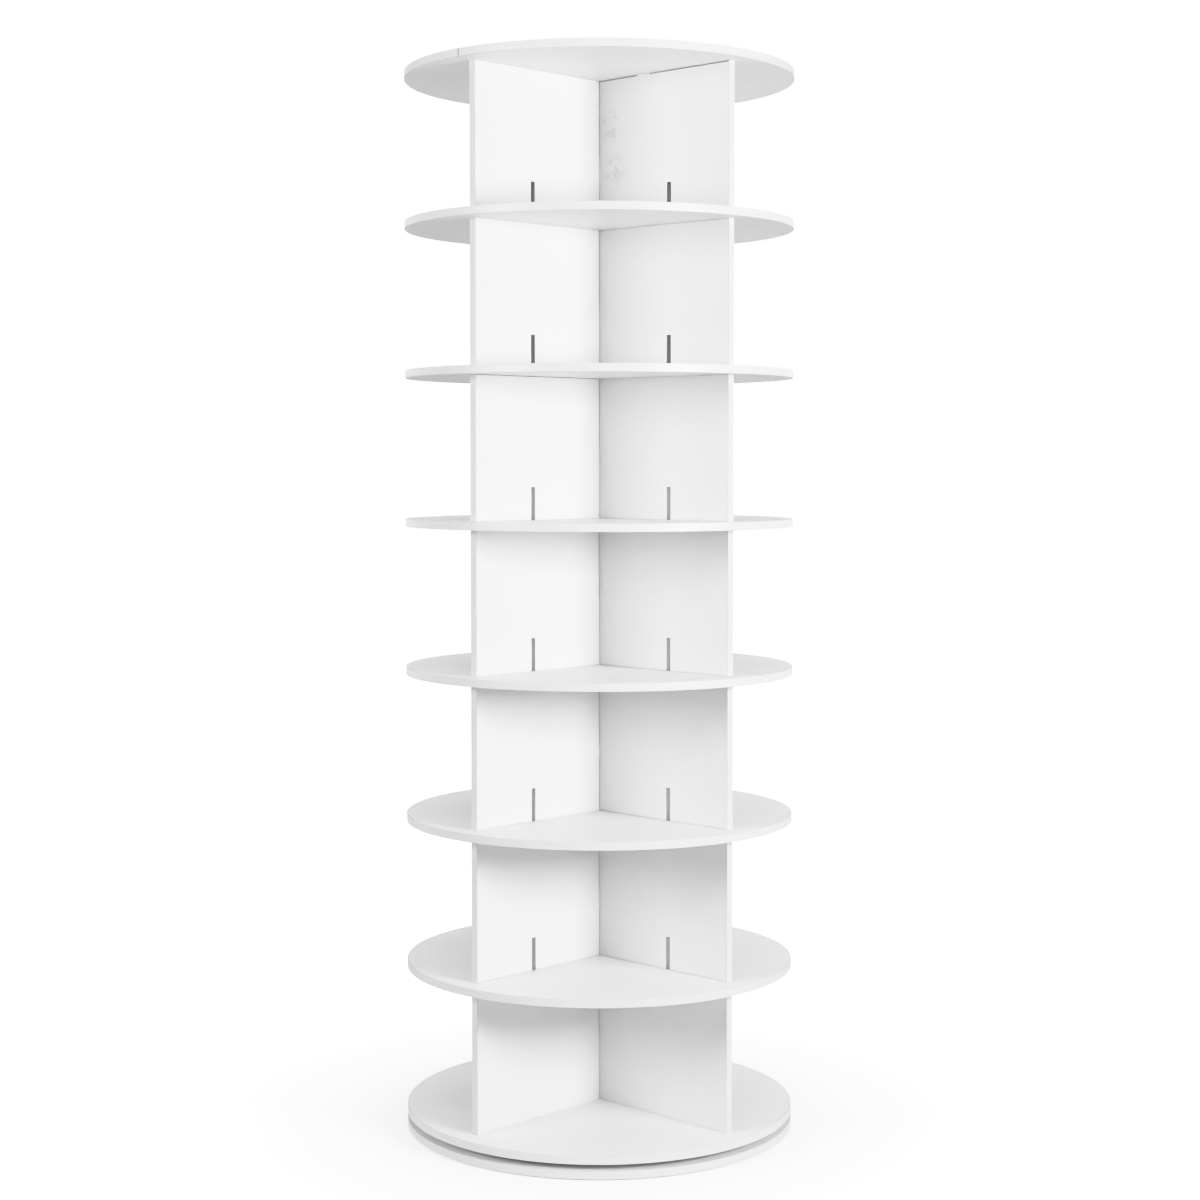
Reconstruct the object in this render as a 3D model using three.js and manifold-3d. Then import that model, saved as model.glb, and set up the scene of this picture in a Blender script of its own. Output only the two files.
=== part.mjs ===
// Rotating shoe tower: seven tiers of half-lapped cross panels between round shelves, on a ball-bearing swivel.
// Millimetres, +Z up. The origin is on the floor, on the tower's axis. The panels run along X and Y.

import * as THREE from "three";
import { mergeVertices } from "three/addons/utils/BufferGeometryUtils.js";
import Module from "manifold-3d";

const wasm = await Module();
wasm.setup();

// Round boards
const shelfRadius = 300;
const boardThickness = 12;
const tierCount = 7;
const tierClearHeight = 216;

// Upright panels, two to a tier, each as long as two wings
const wingReach = 268; // from the tower's axis to a panel's end
const grooveDepth = 3; // how deep a panel's foot sits in the shelf
const panelGap = 0.5; // clearance beside a panel in its groove, and in the half-lap

// Slot in each wing of the tiers above the lowest one
const slotWidth = 8;
const slotHeight = 50; // above the shelf's face
const slotFromAxis = 150;

// Foot and swivel
const footThickness = 2;
const footInset = 4; // from the base board's rim
const footWidth = 30;
const footRadius = shelfRadius - footInset;
const swivelGap = 9.5; // between the base board and the turntable shelf

// Ball bearing in the swivel gap
const ballCircleRadius = 90;
const ballRadius = 3;
const ballCount = 16;
const ballGap = 0.3;
const ringSpacing = 4; // between the walls of the two rings, across the ball circle
const ringWidth = 16;
const ringGap = 1; // between a ring and the board that it moves past
const cageGap = 0.5; // between the cage strip and the ring walls
const cageHeight = 1.6;

// Countersunk screws, all of one kind
const screwLength = 50;
const shankRadius = 2;
const screwHeadRadius = 3.8;
const screwHeadHeight = 2.4;
const screwTipLength = 5;
const driveRadius = 2.1;
const driveDepth = 1.6;
const screwGap = 0.3;
const screwSink = 0.3; // how far a head lies below the face that it is driven into

// Shorter screws that hold the fixed ring to the base board
const baseScrewDepth = 6.5; // in the fixed ring

// How finely round things are cut
const boardSegments = 96;
const ringSegments = 48;
const screwSegments = 8;
const ballSegments = 8;
const ballRows = 6;
const raceSteps = 4;

// How far a cutter runs past the face that it cuts
const overrun = 1;

// Heights, worked out from the floor upwards
const baseLevel = footThickness;
const bearingLevel = baseLevel + boardThickness;
const turntableLevel = bearingLevel + swivelGap;
const tierPitch = tierClearHeight + boardThickness;
const shelfLevel = (tier) => turntableLevel + tier * tierPitch;
const panelHeight = tierClearHeight + grooveDepth;
const panelLevel = (tier) => shelfLevel(tier) + boardThickness - grooveDepth;

// Angles of the four wings, and of the four base screws between them
const quarterTurn = Math.PI / 2;
const wings = [0, 1, 2, 3];
const wingAngle = (wing) => wing * quarterTurn;

// Finishes
const laminate = { color: 0xf2f2f0, roughness: 0.45, metalness: 0 };
const zinc = { color: 0xb9bcc0, roughness: 0.35, metalness: 0.9 };
const aluminium = { color: 0xc4c6c8, roughness: 0.3, metalness: 0.95 };
const steel = { color: 0x9fa3a8, roughness: 0.25, metalness: 1 };
const antiSlip = { color: 0xe2e1dd, roughness: 0.9, metalness: 0 };

// A closed geometry as a solid that can be cut and joined.
function toSolid(geometry) {
  const bare = geometry.clone();
  bare.deleteAttribute("normal");
  bare.deleteAttribute("uv");
  const merged = mergeVertices(bare, 1e-4);
  return new wasm.Manifold(
    new wasm.Mesh({
      numProp: 3,
      vertProperties: new Float32Array(merged.attributes.position.array),
      triVerts: new Uint32Array(merged.index.array),
    }),
  );
}

// A solid as a geometry again.
function toGeometry(solid) {
  const mesh = solid.getMesh();
  const geometry = new THREE.BufferGeometry();
  geometry.setAttribute("position", new THREE.BufferAttribute(mesh.vertProperties, 3));
  geometry.setIndex(new THREE.BufferAttribute(mesh.triVerts, 1));
  geometry.computeVertexNormals();
  return geometry;
}

// One body less a list of cutters.
function cut(body, cutters) {
  return toGeometry(cutters.reduce((left, cutter) => left.subtract(toSolid(cutter)), toSolid(body)));
}

// A profile of [radius, height] points turned about the Z axis.
function turned(profile, segments) {
  const points = profile.map(([radius, height]) => new THREE.Vector2(radius, height));
  return new THREE.LatheGeometry(points, segments).rotateX(quarterTurn);
}

// A box by its centre in plan, its lowest level and its three sizes.
function block(x, y, level, sizeX, sizeY, sizeZ) {
  return new THREE.BoxGeometry(sizeX, sizeY, sizeZ).translate(x, y, level + sizeZ / 2);
}

// Moves a copy of a geometry out from the axis, at an angle in plan and at a level.
function outward(geometry, radius, angle, level) {
  return geometry.clone().translate(radius, 0, level).rotateZ(angle);
}

// A screw with its head at the top, level with zero, pointing down.
function screwShape() {
  return turned(
    [
      [0, -screwLength],
      [shankRadius, screwTipLength - screwLength],
      [shankRadius, -screwHeadHeight],
      [screwHeadRadius, 0],
      [driveRadius, 0],
      [0, -driveDepth],
    ],
    screwSegments,
  );
}

// The hole for a countersunk screw: zero is the face that the head is sunk into.
function countersink(depth) {
  const shank = shankRadius + screwGap;
  const head = screwHeadRadius + screwGap;
  return turned(
    [
      [0, -depth],
      [shank, -depth],
      [shank, -screwSink - screwHeadHeight],
      [head, -screwSink],
      [head, overrun],
      [0, overrun],
    ],
    screwSegments,
  );
}

// A plain round hole from zero down to a depth.
function pilotHole(depth) {
  const shank = shankRadius + screwGap;
  return turned(
    [
      [0, -depth],
      [shank, -depth],
      [shank, overrun],
      [0, overrun],
    ],
    screwSegments,
  );
}

// A round board, from level zero upwards.
function roundBoard() {
  return turned(
    [
      [0, 0],
      [shelfRadius, 0],
      [shelfRadius, boardThickness],
      [0, boardThickness],
    ],
    boardSegments,
  );
}

// The cross-shaped groove in a shelf's upper face, in which the panels of the tier above stand.
function crossGroove() {
  const length = 2 * (wingReach + panelGap);
  const width = boardThickness + 2 * panelGap;
  const floor = boardThickness - grooveDepth;
  const depth = grooveDepth + overrun;
  return [block(0, 0, floor, length, width, depth), block(0, 0, floor, width, length, depth)];
}

// Holes at the four wings of a board, all alike.
function atWings(cutter, radius, level) {
  return wings.map((wing) => outward(cutter, radius, wingAngle(wing), level));
}

// A shelf between two tiers: grooved above, with a countersunk hole under each slot.
function middleShelf() {
  const floor = boardThickness - grooveDepth;
  const holes = atWings(countersink(floor + overrun), slotFromAxis, floor);
  return cut(roundBoard(), [...crossGroove(), ...holes]);
}

// The top shelf: flat above, with countersunk holes over the wings.
function topShelf() {
  return cut(roundBoard(), atWings(countersink(boardThickness + overrun), slotFromAxis, boardThickness));
}

// Radii of the two bearing rings and of the circles that their screws lie on
const turningRingOuter = ballCircleRadius - ringSpacing / 2;
const turningRingInner = turningRingOuter - ringWidth;
const fixedRingInner = ballCircleRadius + ringSpacing / 2;
const fixedRingOuter = fixedRingInner + ringWidth;
const turningScrewCircle = (turningRingInner + turningRingOuter) / 2;
const fixedScrewCircle = (fixedRingInner + fixedRingOuter) / 2;
const ringHeight = swivelGap - ringGap;
const fixedRingLevel = bearingLevel;
const turningRingLevel = bearingLevel + ringGap;
const ballLevel = bearingLevel + swivelGap / 2;

// The turntable shelf: grooved above, with plain holes for the screws that come up through the turning ring.
function turntableShelf() {
  const holes = atWings(pilotHole(boardThickness + overrun), turningScrewCircle, boardThickness);
  return cut(roundBoard(), [...crossGroove(), ...holes]);
}

// The base board, with holes from beneath for the four screws of the fixed ring, between the wings.
function baseBoard() {
  const fromBeneath = countersink(boardThickness + overrun).rotateX(Math.PI);
  const holes = wings.map((wing) => outward(fromBeneath, fixedScrewCircle, wingAngle(wing) + quarterTurn / 2, 0));
  return cut(roundBoard(), holes);
}

// A panel's outline: its length along X, its height along Y, with its slots and its half of the lap.
function panelOutline(slotted, notchedFromTop) {
  const notch = boardThickness / 2 + panelGap;
  const notchHeight = (panelHeight + panelGap) / 2;
  const slotTop = grooveDepth + slotHeight;
  const near = slotFromAxis - slotWidth / 2;
  const far = slotFromAxis + slotWidth / 2;
  const slotOn = (side) => {
    const [first, last] = side < 0 ? [-far, -near] : [near, far];
    return [
      [first, 0],
      [first, slotTop],
      [last, slotTop],
      [last, 0],
    ];
  };
  const lowNotch = [
    [-notch, 0],
    [-notch, notchHeight],
    [notch, notchHeight],
    [notch, 0],
  ];
  const highNotch = [
    [notch, panelHeight],
    [notch, panelHeight - notchHeight],
    [-notch, panelHeight - notchHeight],
    [-notch, panelHeight],
  ];
  const points = [
    [-wingReach, 0],
    ...(slotted ? slotOn(-1) : []),
    ...(notchedFromTop ? [] : lowNotch),
    ...(slotted ? slotOn(1) : []),
    [wingReach, 0],
    [wingReach, panelHeight],
    ...(notchedFromTop ? highNotch : []),
    [-wingReach, panelHeight],
  ];
  return new THREE.Shape(points.map(([x, y]) => new THREE.Vector2(x, y)));
}

// A panel along X, standing on level zero, with the screw holes in its edges.
function panel(tier, notchedFromTop) {
  const lowest = tier === 0;
  const highest = tier === tierCount - 1;
  const sheet = new THREE.ExtrudeGeometry(panelOutline(!lowest, notchedFromTop), {
    depth: boardThickness,
    bevelEnabled: false,
  });
  const body = sheet.translate(0, 0, -boardThickness / 2).rotateX(quarterTurn);
  const throughBoard = highest ? boardThickness : boardThickness - grooveDepth;
  const fromAbove = pilotHole(screwLength + screwSink + screwGap - throughBoard);
  const fromBelow = pilotHole(screwLength + screwSink + screwGap - ringHeight - boardThickness + grooveDepth);
  const bothWings = [0, Math.PI];
  const holes = bothWings.map((angle) => outward(fromAbove, slotFromAxis, angle, panelHeight));
  if (lowest) {
    const raised = fromBelow.rotateX(Math.PI);
    holes.push(...bothWings.map((angle) => outward(raised, turningScrewCircle, angle, 0)));
  }
  return cut(body, holes);
}

// Half of a ball race, as points on a ring's wall from one level to another; side is 1 for an outer ring.
function racePoints(wall, side, level) {
  const raceRadius = ballRadius + ballGap;
  const offset = ringSpacing / 2;
  const half = Math.acos(offset / raceRadius);
  const points = [];
  for (let step = 0; step <= raceSteps; step++) {
    const angle = half - (2 * half * step) / raceSteps;
    points.push([wall + side * (raceRadius * Math.cos(angle) - offset), level + raceRadius * Math.sin(angle)]);
  }
  return points;
}

// The outer bearing ring, with the race on its inner wall and blind holes from beneath.
function fixedRing() {
  const race = racePoints(fixedRingInner, 1, ballLevel - fixedRingLevel);
  const first = [fixedRingInner, 0];
  const body = turned(
    [first, [fixedRingOuter, 0], [fixedRingOuter, ringHeight], [fixedRingInner, ringHeight], ...race, first],
    ringSegments,
  );
  const hole = pilotHole(baseScrewDepth).rotateX(Math.PI);
  const holes = wings.map((wing) => outward(hole, fixedScrewCircle, wingAngle(wing) + quarterTurn / 2, 0));
  return cut(body, holes);
}

// The inner bearing ring, with the race on its outer wall and countersunk holes from beneath.
function turningRing() {
  const race = racePoints(turningRingOuter, -1, ballLevel - turningRingLevel).reverse();
  const first = [turningRingInner, 0];
  const body = turned(
    [first, [turningRingOuter, 0], ...race, [turningRingOuter, ringHeight], [turningRingInner, ringHeight], first],
    ringSegments,
  );
  const hole = countersink(ringHeight + overrun).rotateX(Math.PI);
  return cut(body, atWings(hole, turningScrewCircle, 0));
}

// The balls and the strip that spaces them, with the ball centres at level zero.
function ballCage() {
  const inner = turningRingOuter + cageGap;
  const outer = fixedRingInner - cageGap;
  const half = cageHeight / 2;
  const strip = turned(
    [
      [inner, -half],
      [outer, -half],
      [outer, half],
      [inner, half],
      [inner, -half],
    ],
    ringSegments,
  );
  const ball = new THREE.SphereGeometry(ballRadius, ballSegments, ballRows).rotateX(quarterTurn);
  let whole = toSolid(strip);
  for (let index = 0; index < ballCount; index++) {
    const angle = (2 * Math.PI * index) / ballCount;
    whole = whole.add(toSolid(outward(ball, ballCircleRadius, angle, 0)));
  }
  return toGeometry(whole);
}

// The anti-slip ring under the base board, from level zero upwards.
function footRing() {
  const inner = footRadius - footWidth;
  return turned(
    [
      [inner, 0],
      [footRadius, 0],
      [footRadius, footThickness],
      [inner, footThickness],
      [inner, 0],
    ],
    ringSegments,
  );
}

const tower = new THREE.Group();

// Adds one named piece at a level, in its own copy of a finish.
function place(name, geometry, finish, level) {
  const mesh = new THREE.Mesh(geometry, new THREE.MeshStandardMaterial(finish));
  mesh.name = name;
  mesh.position.z = level;
  tower.add(mesh);
  return mesh;
}

// Adds a screw at each wing, pointing down, or up where it is turned over.
function placeScrews(name, radius, level, upwards) {
  for (const wing of wings) {
    const screw = place(`${name}_${wing + 1}`, screwShape(), zinc, level);
    screw.position.x = radius * Math.round(Math.cos(wingAngle(wing)));
    screw.position.y = radius * Math.round(Math.sin(wingAngle(wing)));
    if (upwards) screw.rotation.x = Math.PI;
  }
}

// What stands still
place("foot_ring", footRing(), antiSlip, 0);
place("base_disc", baseBoard(), laminate, baseLevel);
place("bearing_fixed_ring", fixedRing(), aluminium, fixedRingLevel);

// What turns between the rings
place("ball_cage", ballCage(), steel, ballLevel);

// What turns
place("bearing_turning_ring", turningRing(), aluminium, turningRingLevel);
placeScrews("turntable_screw", turningScrewCircle, turningRingLevel + screwSink, true);
place("turntable_shelf", turntableShelf(), laminate, shelfLevel(0));
for (let tier = 0; tier < tierCount; tier++) {
  place(`tier_${tier + 1}_panel_x`, panel(tier, false), laminate, panelLevel(tier));
  place(`tier_${tier + 1}_panel_y`, panel(tier, true), laminate, panelLevel(tier)).rotation.z = quarterTurn;
  if (tier > 0) {
    place(`shelf_${tier + 1}`, middleShelf(), laminate, shelfLevel(tier));
    placeScrews(`shelf_${tier + 1}_screw`, slotFromAxis, panelLevel(tier) - screwSink, false);
  }
}
place("top_shelf", topShelf(), laminate, shelfLevel(tierCount));
placeScrews("top_screw", slotFromAxis, shelfLevel(tierCount) + boardThickness - screwSink, false);

export default tower;
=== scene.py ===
"""Rotating shoe tower: the finish of every board, band, screw and ring, over the construction frame."""

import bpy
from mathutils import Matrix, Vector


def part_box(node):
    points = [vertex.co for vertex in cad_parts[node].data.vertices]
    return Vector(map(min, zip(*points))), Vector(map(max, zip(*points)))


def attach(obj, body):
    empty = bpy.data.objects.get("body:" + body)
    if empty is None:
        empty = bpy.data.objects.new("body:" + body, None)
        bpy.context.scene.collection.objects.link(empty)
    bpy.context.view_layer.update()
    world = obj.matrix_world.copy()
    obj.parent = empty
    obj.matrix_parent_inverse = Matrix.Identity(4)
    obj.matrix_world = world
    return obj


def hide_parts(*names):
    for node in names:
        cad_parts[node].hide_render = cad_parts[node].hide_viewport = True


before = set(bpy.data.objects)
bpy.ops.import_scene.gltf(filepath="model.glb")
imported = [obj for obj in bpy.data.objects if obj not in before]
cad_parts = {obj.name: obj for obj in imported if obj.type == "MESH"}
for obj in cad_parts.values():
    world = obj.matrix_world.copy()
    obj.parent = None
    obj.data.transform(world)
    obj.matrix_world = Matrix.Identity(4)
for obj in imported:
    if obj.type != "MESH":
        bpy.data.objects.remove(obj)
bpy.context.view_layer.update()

import math
import random

import bmesh
import bpy
from mathutils import Matrix, Vector

MM = 0.001

# Sizes read from the frame
TIERS = sum(name.endswith("_panel_x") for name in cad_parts)
TOP_LOW, TOP_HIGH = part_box("top_shelf")
PANEL_LOW, PANEL_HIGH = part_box("tier_1_panel_x")
FIXED_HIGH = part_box("bearing_fixed_ring")[1]
CAGE_LOW, CAGE_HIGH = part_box("ball_cage")
FOOT_LOW, FOOT_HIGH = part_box("foot_ring")
BASE_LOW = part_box("base_disc")[0]
SCREW_LOW, SCREW_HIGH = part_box("top_screw_1")
BOARD_RADIUS = TOP_HIGH.x
BOARD = TOP_HIGH.z - TOP_LOW.z
WING_REACH = PANEL_HIGH.x
PANEL_HEIGHT = PANEL_HIGH.z - PANEL_LOW.z
SLOT_FROM_AXIS = (SCREW_LOW.x + SCREW_HIGH.x) / 2
RING_SCREW_CIRCLE = sum(corner.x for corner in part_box("turntable_screw_1")) / 2
SCREW_LENGTH = SCREW_HIGH.z - SCREW_LOW.z
SCREW_HEAD = (SCREW_HIGH.x - SCREW_LOW.x) / 2

# Sizes that follow the construction
GROOVE_DEPTH = 3 * MM
JOINT_GAP = 0.5 * MM  # room on each side of a panel in its grooves
LAP_GAP = 0.9 * MM  # room on each side of a panel in the half-lap notches
FOOT_REBATE = 1 * MM  # how far a slotted panel's foot is cut back on each side
FOOT_GAP = 0.5 * MM  # height of the shadow gap that this leaves over the shelf
SLOT_WIDTH = 8 * MM
SLOT_HEIGHT = 50 * MM
SCREW_SHANK = 2 * MM
SCREW_HEAD_HEIGHT = 2.4 * MM
SCREW_GAP = 0.3 * MM
SCREW_SINK = 0.3 * MM
BALL = 3 * MM
RING_SPACING = 4 * MM
RING_WIDTH = 16 * MM
FOOT_WIDTH = 30 * MM
BASE_SCREW_LENGTH = 18 * MM
BASE_SCREW_DEPTH = 6.5 * MM  # of its hole in the fixed ring
BASE_SCREW_CIRCLE = FIXED_HIGH.x - RING_WIDTH / 2
HAIR = 0.01 * MM

# Small sizes of the screws
THREAD_ROOT = 1.45 * MM
THREAD_PITCH = 1.8 * MM
THREAD_RIDGE_SHARE = 0.25  # of the pitch, half as wide as a ridge
SCREW_NECK = 0.4 * MM  # plain shank between the head and the thread
SCREW_TIP = 5 * MM
SCREW_POINT_SHARE = 0.12  # of a screw's thickness, left at its point
HEAD_FACE_SHARE = 0.9  # of the head's radius, inside its bevelled rim
HEAD_RIM = (0.15 * MM, 0.35 * MM)  # depths of the rim's upper and lower edge
RECESS_WIDTH = 4.4 * MM
RECESS_BLADE = 0.9 * MM
RECESS_DEPTH = 1.5 * MM
RECESS_FLOOR_SHARE = 0.45  # of the recess's size at its mouth
SCREW_SIDES = 12
THREAD_ROWS = 4  # in one turn of the thread

# Small sizes of the bearing and the foot
BALL_COUNT = 16
BALL_SEGMENTS = 24
BALL_ROWS = 16
RACE_GAP = 0.3 * MM
RACE_STEPS = 10
RING_EASE = 0.5 * MM
STRIP_WIDTH = 3 * MM
STRIP_HEIGHT = 1.6 * MM
STRIP_EASE = 0.3 * MM
FOOT_EASE = 0.5 * MM

# Sizes of the finish
BAND = 0.8 * MM  # thickness of the glued edge band
BAND_EASE = 0.5 * MM  # rounding of the band's trimmed edges
BAND_LINE = 0.12 * MM  # the glue line between a band and its board
BAND_JOINT = 1.4 * MM  # the open joint where the two ends of a band meet
PANEL_EASE = 0.25 * MM
TOP_GAPS = (0.1 * MM, 0.3 * MM)  # least and most room between a panel and the board above it
# Panels that stop shorter of the board above, by these gaps at their ends, and where one still touches it
WIDE_GAPS = {"tier_7_panel_x": (0.9 * MM, 1.2 * MM), "tier_5_panel_y": (0.9 * MM, 0.2 * MM)}
TOUCHES = {"tier_7_panel_x": (84 * MM, 111 * MM)}

# How finely round things are made, and what counts as one point or as a sharp edge
ROUND_STEPS = 256
HOLE_STEPS = 32
RING_STEPS = 160
CORNER_STEPS = 3
OVERRUN = 1 * MM  # how far a cutter runs past the face that it cuts
MERGE_DISTANCE = 0.001 * MM
SHARP_ANGLE = 35  # degrees between two faces from which their edge stays sharp
SCREW_SHARP_ANGLE = 50

QUARTER = math.pi / 2
WINGS = 4
WING_TURNS = [wing * QUARTER for wing in range(WINGS)]
FITTING_SEED = 3
SCREW_SEED = 7


# Camera, at the photograph's viewing angle

CAMERA_AZIMUTH = 43.7  # degrees round from the -Y axis, as the lights' are
CAMERA_PITCH = -2.72
VIEW_DISTANCE = 3.447
VIEW_HEIGHT = 1.038
SENSOR = 36.0
FOCAL_PIXELS = 2215.7
FRAME_PIXELS = 1200
AXIS_PIXEL = (599.24, 565.22)
VIEW_END = 50


def make_camera():
    """A camera at the place and angle of the photograph's, from a fit to the boards' outlines."""
    data = bpy.data.cameras.new("camera")
    data.sensor_width = SENSOR
    data.lens = FOCAL_PIXELS / FRAME_PIXELS * SENSOR
    data.shift_x = 0.5 - AXIS_PIXEL[0] / FRAME_PIXELS
    data.shift_y = AXIS_PIXEL[1] / FRAME_PIXELS - 0.5
    data.clip_end = VIEW_END
    camera = bpy.data.objects.new("camera", data)
    around = math.radians(CAMERA_AZIMUTH)
    camera.location = (VIEW_DISTANCE * math.sin(around), -VIEW_DISTANCE * math.cos(around), VIEW_HEIGHT)
    camera.rotation_euler = (QUARTER + math.radians(CAMERA_PITCH), 0, around)
    bpy.context.scene.collection.objects.link(camera)
    bpy.context.scene.camera = camera


make_camera()


# Node helpers for materials


class Shader:
    """A material under construction: its nodes by short calls, its pattern on Object coordinates."""

    def __init__(self, name, **sockets):
        self.material = bpy.data.materials.new(name)
        self.material.use_nodes = True
        self.tree = self.material.node_tree
        self.surface = self.tree.nodes["Principled BSDF"]
        self.where = self.tree.nodes.new("ShaderNodeTexCoord").outputs["Object"]
        for label, value in sockets.items():
            self.surface.inputs[label.replace("_", " ")].default_value = value

    def node(self, kind, settings=None, **inputs):
        made = self.tree.nodes.new(kind)
        for label, value in (settings or {}).items():
            setattr(made, label, value)
        for label, value in inputs.items():
            self.feed(made.inputs[label.replace("_", " ")], value)
        return made

    def feed(self, socket, value):
        if isinstance(value, bpy.types.NodeSocket):
            self.tree.links.new(value, socket)
        else:
            socket.default_value = value

    def stretch(self, scale):
        """The coordinates drawn out along one axis or more."""
        return self.node("ShaderNodeMapping", Vector=self.where, Scale=scale).outputs["Vector"]

    def noise(self, scale, detail=3, roughness=0.5, where=None):
        sizes = {"Scale": scale, "Detail": detail, "Roughness": roughness}
        return self.node("ShaderNodeTexNoise", Vector=where or self.where, **sizes).outputs["Fac"]

    def spread(self, value, span, result=(0, 1)):
        """Maps the values in one span onto another, clamped."""
        made = self.node("ShaderNodeMapRange", Value=value)
        for label, number in zip(("From Min", "From Max", "To Min", "To Max"), (*span, *result)):
            made.inputs[label].default_value = number
        return made.outputs["Result"]

    def length(self, vector):
        """How far a point lies from the pattern's origin."""
        made = self.node("ShaderNodeVectorMath", {"operation": "LENGTH"})
        self.feed(made.inputs[0], vector)
        return made.outputs["Value"]

    def maths(self, operation, first, second):
        made = self.node("ShaderNodeMath", {"operation": operation})
        self.feed(made.inputs[0], first)
        self.feed(made.inputs[1], second)
        return made.outputs["Value"]

    def blend(self, share, first, second):
        """One colour turning into another."""
        made = self.node("ShaderNodeMix", {"data_type": "RGBA"})
        self.feed(made.inputs["Factor"], share)
        ends = [socket for socket in made.inputs if socket.type == "RGBA"]
        for socket, colour in zip(ends, (first, second)):
            self.feed(socket, colour)
        return next(socket for socket in made.outputs if socket.type == "RGBA")

    def bump(self, height, depth, after=None):
        made = self.node("ShaderNodeBump", Height=height, Distance=depth, Strength=1.0)
        if after:
            self.feed(made.inputs["Normal"], after)
        return made.outputs["Normal"]

    def finish(self, colour=None, roughness=None, normal=None):
        for label, value in (("Base Color", colour), ("Roughness", roughness), ("Normal", normal)):
            if value is not None:
                self.feed(self.surface.inputs[label], value)
        return self.material


def grey(level, warmth=0.0):
    """A near-neutral colour, a little warmer or cooler."""
    return (level * (1 + warmth), level, level * (1 - warmth), 1.0)


# The tones that each finish wavers between
LAMINATE_TONES = (grey(0.85, 0.001), grey(0.835, 0.002))
SCUFF_TONE = grey(0.60, 0.006)
# The tone of the painted corner shade and of rubbing
SHADE_AND_RUB_TONE = grey(0.52, 0.004)
BAND_TONES = (grey(0.745, 0.001), grey(0.725, 0.002))
PRIMED_TONES = (grey(0.84, 0.004), grey(0.78, 0.006))
# Painted shade: the darker tones of the cut board in the two upper tiers, for the shade in their slots and
# notches
UPPER_CUT_SHADE_TONES = (grey(0.49, 0.01), grey(0.42, 0.012))
GLUE_TONES = (grey(0.13, 0.03), grey(0.20, 0.05))
FOAM_TONES = (grey(0.76, 0.01), grey(0.70, 0.02))
ZINC_TONES = ((0.60, 0.62, 0.64, 1), (0.72, 0.73, 0.73, 1))
ALUMINIUM_TONES = ((0.66, 0.67, 0.68, 1), (0.78, 0.78, 0.79, 1))
STEEL_TONES = ((0.50, 0.51, 0.53, 1), (0.62, 0.63, 0.64, 1))

# Spans of a noise's values: nearly all of them, and all but the lowest
MOST = (0.3, 0.7)
UPPER = (0.35, 0.7)

LAMINATE_IOR = 1.48
BAND_IOR = 1.5
CUT_SHADE_LEVELS = (1.06, 1.17)  # heights between which the boards' cuts turn from primed white to painted shade

# Painted shade and a rubbed place, as (centre, size) in millimetres: two patches of painted shade beside
# the top corner, where the panels meet, and one rubbed place by the wing under it
CORNER_SHADE_AND_RUBS = [
    ((30, -6, 1545), (26, 8, 34)),
    ((38, -6, 1480), (28, 8, 36)),
    ((-6, -227, 1349), (8, 14, 16)),
]


def corner_shade_and_rub_mask(s):
    """How much of each patch of painted corner shade or rubbing covers a point: soft patches, each broken
    up by blotches.
    """
    soft_edge_shares = (0.2, 1.0)
    blotches_per_metre = 95
    blotch_span = (0.46, 0.6)
    total = 0.0
    for centre, size in CORNER_SHADE_AND_RUBS:
        local = s.node("ShaderNodeMapping", {"vector_type": "TEXTURE"}, Vector=s.where)
        local.inputs["Location"].default_value = [number * MM for number in centre]
        local.inputs["Scale"].default_value = [number * MM for number in size]
        patch = s.spread(s.length(local.outputs["Vector"]), soft_edge_shares, (1, 0))
        total = s.maths("ADD", patch, total)
    blotches = s.noise(blotches_per_metre, detail=5, roughness=0.65)
    return s.maths("MULTIPLY", total, s.spread(blotches, blotch_span))


def laminate_finish():
    """White melamine: the pebble of the press plate, a slow waviness, faint smears and shoe scuffs, with
    painted shade beside the top corner and a rubbed place.
    """
    pebbles_per_metre, pebble_depth = 1500, 0.03 * MM
    waves_per_metre, wave_depth = 55, 0.12 * MM
    smears_per_metre, smear_stretch = 9, (1.0, 1.0, 2.2)
    scuffs_per_metre, scuff_stretch = 130, (1.0, 1.0, 0.12)
    scuff_strength, shade_and_rub_strength = 0.35, 0.5
    smear_roughness, pebble_roughness = (0.40, 0.54), (-0.035, 0.035)
    s = Shader("white_laminate", IOR=LAMINATE_IOR)
    pebble = s.noise(pebbles_per_metre, detail=2)
    waves = s.noise(waves_per_metre, detail=2)
    smear = s.noise(smears_per_metre, detail=6, roughness=0.62, where=s.stretch(smear_stretch))
    scuff_lines = s.noise(scuffs_per_metre, detail=4, roughness=0.7, where=s.stretch(scuff_stretch))
    scuffs = s.maths("MULTIPLY", s.spread(scuff_lines, (0.66, 0.78)), s.spread(smear, (0.5, 0.7)))
    tint = s.blend(s.spread(smear, (0.35, 0.75)), *LAMINATE_TONES)
    colour = s.blend(s.maths("MULTIPLY", scuffs, scuff_strength), tint, SCUFF_TONE)
    # Painted shade: darker patches beside the top corner, with one rubbed place by a wing
    colour = s.blend(s.maths("MULTIPLY", corner_shade_and_rub_mask(s), shade_and_rub_strength), colour, SHADE_AND_RUB_TONE)
    fine = s.spread(pebble, MOST, pebble_roughness)
    roughness = s.maths("ADD", fine, s.spread(smear, (0.3, 0.8), smear_roughness))
    normal = s.bump(waves, wave_depth, after=s.bump(pebble, pebble_depth))
    return s.finish(colour, roughness, normal)


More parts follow.
